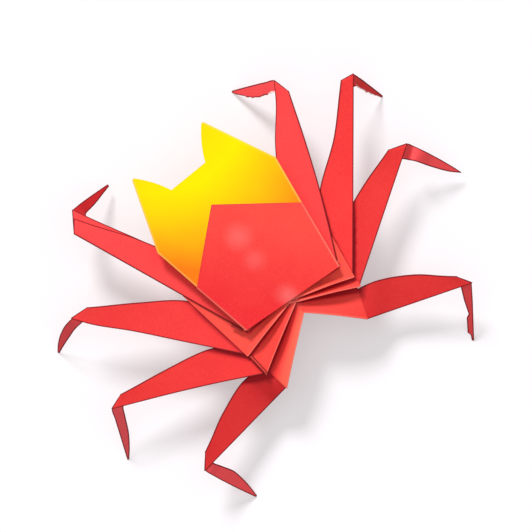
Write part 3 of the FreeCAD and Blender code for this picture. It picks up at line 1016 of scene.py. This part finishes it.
def yellowPaper():
    material, tree = startMaterial("yellow reverse of the paper")
    left, forward, spot = crabPlace(tree)
    onBack, foldWearAndHighlight, _, _, torn = paperMarksAndPaintedLight(tree)
    mottle = addNoise(tree, spot, paperLook["mottle"], 5.0)
    speck = addNoise(tree, spot, paperLook["speck"], 3.0)
    # painted shade: the yellow turns orange towards the rear and the sides, most to the left, and a little
    # on the horns
    paintedLightSweep = (36 - forward) * 0.042 + ((left + 4) / 18) ** 2 * 0.3 + (left / 20).clamped() * 0.08
    paintedLightSweep = paintedLightSweep.clamped() + ((forward - 37) / 10).clamped() * 0.15
    paintedLightSweep = paintedLightSweep * onBack + (mottle - 0.5) * 0.12 + (speck - 0.5) * 0.08
    colour = mixColour(tree, paintedLightSweep.clamped(), paperLook["yellow"], paperLook["orange"])
    # rubbed paper and a painted highlight along the folds
    colour = mixColour(tree, (foldWearAndHighlight * (0.5 + speck * 0.5)).clamped(), colour, paperLook["wornAndHighlitYellow"])
    ragged = (torn * 1.6 - 0.7 + speck).stepped(0.55, 0.95)
    colour = mixColour(tree, ragged, colour, paperLook["bare"])
    finishPaper(tree, colour, specular=0.05)
    return material


def cutPaper():
    material, tree = startMaterial("cut edge of the paper")
    fibre = addNoise(tree, addSpot(tree), paperLook["cutFibres"], 3.0)
    colour = mixColour(tree, fibre.clamped(), paperLook["coreStain"], paperLook["core"])
    finishPaper(tree, colour)
    return material


def buildCrab():
    middle = buildSheets()
    rough = bpy.data.objects.new("rough", middle)
    bpy.context.scene.collection.objects.link(rough)
    for material in (redPaper(), yellowPaper(), cutPaper()):
        middle.materials.append(material)
    solid = rough.modifiers.new("thickness", "SOLIDIFY")
    solid.thickness = paper["thickness"] * mm
    solid.offset = 0
    solid.use_even_offset = True
    solid.material_offset = 1
    solid.material_offset_rim = 2
    evaluated = rough.evaluated_get(bpy.context.evaluated_depsgraph_get())
    mesh = bpy.data.meshes.new_from_object(evaluated)
    bpy.data.objects.remove(rough)
    mesh.name = "folded paper"
    mesh.shade_smooth()
    mesh.set_sharp_from_angle(angle=math.radians(40))
    crabObject = bpy.data.objects.new("paper_crab", mesh)
    bpy.context.scene.collection.objects.link(crabObject)
    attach(crabObject, "root")
    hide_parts("folded_sheet")
    print("paper crab", len(mesh.polygons), "faces")
    return crabObject


studio = dict(
    viewRight=(-0.775, 0.632),  # the view's right-hand direction on the table
    lightFromLeft=24.0,  # the window is behind the view's top, a little to the left
    lightHeight=40.0,
    windowStrength=2.95,
    windowSoftness=15.0,
    ceilingStrength=0.85,
    ceilingSoftness=70.0,
    skyStrength=0.3,
    floorSize=3.0,
    floorShade=(193, 191, 194),
    floorGlow=0.415,  # added for the camera alone, so that the table shows white
    floorTint=(1.0, 0.955, 0.965, 1),
    viewWidth=127.7,
    viewCentre=(0.051, -10.571),  # from the hub
    focusHeight=6.0,
    lens=800.0,
)


def viewAxes():
    right = Vector((*studio["viewRight"], 0)).normalized()
    return right, Vector((0, 0, 1)).cross(right)


def buildFloor():
    bm = bmesh.new()
    bmesh.ops.create_grid(bm, x_segments=8, y_segments=8, size=studio["floorSize"] / 2)
    mesh = bpy.data.meshes.new("floor")
    bm.to_mesh(mesh)
    bm.free()
    floor = bpy.data.objects.new("floor", mesh)
    bpy.context.scene.collection.objects.link(floor)
    material, tree = startMaterial("white table")
    matte = addNode(tree, "ShaderNodeBsdfDiffuse", {}, {"Color": linearColour(studio["floorShade"])})
    glowSockets = {"Color": studio["floorTint"], "Strength": studio["floorGlow"]}
    glowColour = addNode(tree, "ShaderNodeEmission", {}, glowSockets)
    path = addNode(tree, "ShaderNodeLightPath", output=0)
    dark = addNode(tree, "ShaderNodeEmission", {}, {"Strength": 0.0})
    glow = addNode(tree, "ShaderNodeMixShader", {}, {0: path, 1: dark, 2: glowColour})
    both = addNode(tree, "ShaderNodeAddShader", {}, {0: matte, 1: glow})
    addNode(tree, "ShaderNodeOutputMaterial", {}, {"Surface": both})
    mesh.materials.append(material)


def addSun(name, towards, strength, softness):
    data = bpy.data.lights.new(name, "SUN")
    data.energy = strength
    data.angle = math.radians(softness)
    lamp = bpy.data.objects.new(name, data)
    lamp.rotation_euler = towards.to_track_quat("Z", "Y").to_euler()
    bpy.context.scene.collection.objects.link(lamp)


def buildLight():
    right, upward = viewAxes()
    turn, height = math.radians(studio["lightFromLeft"]), math.radians(studio["lightHeight"])
    towards = (upward * math.cos(turn) - right * math.sin(turn)) * math.cos(height)
    towards.z = math.sin(height)
    addSun("window", towards, studio["windowStrength"], studio["windowSoftness"])
    addSun("ceiling", Vector((0, 0, 1)), studio["ceilingStrength"], studio["ceilingSoftness"])
    world = bpy.data.worlds.new("pale room")
    bpy.context.scene.world = world
    world.use_nodes = True
    tree = world.node_tree
    tree.nodes.clear()
    white = (1, 1, 1, 1)
    room = addNode(tree, "ShaderNodeBackground", {}, {"Color": white, "Strength": studio["skyStrength"]})
    seen = addNode(tree, "ShaderNodeBackground", {}, {"Color": white, "Strength": 1.0})
    path = addNode(tree, "ShaderNodeLightPath", output=0)
    mixed = addNode(tree, "ShaderNodeMixShader", {}, {0: path, 1: room, 2: seen})
    addNode(tree, "ShaderNodeOutputWorld", {}, {"Surface": mixed})


def buildCamera():
    right, upward = viewAxes()
    data = bpy.data.cameras.new("camera")
    data.lens = studio["lens"]
    data.sensor_width = 36.0
    away = studio["viewWidth"] * mm / 2 / (data.sensor_width / 2 / data.lens)
    camera = bpy.data.objects.new("camera", data)
    x, y = studio["viewCentre"]
    camera.location = (hub.x + x * mm, hub.y + y * mm, studio["focusHeight"] * mm + away)
    camera.rotation_euler = Matrix((right, upward, (0, 0, 1))).transposed().to_euler()
    data.clip_start, data.clip_end = 0.01, 10.0
    bpy.context.scene.collection.objects.link(camera)
    bpy.context.scene.camera = camera


buildCrab()
buildFloor()
buildLight()
buildCamera()
bpy.context.scene.view_settings.view_transform = "Standard"
print("floor, light and camera are in place")
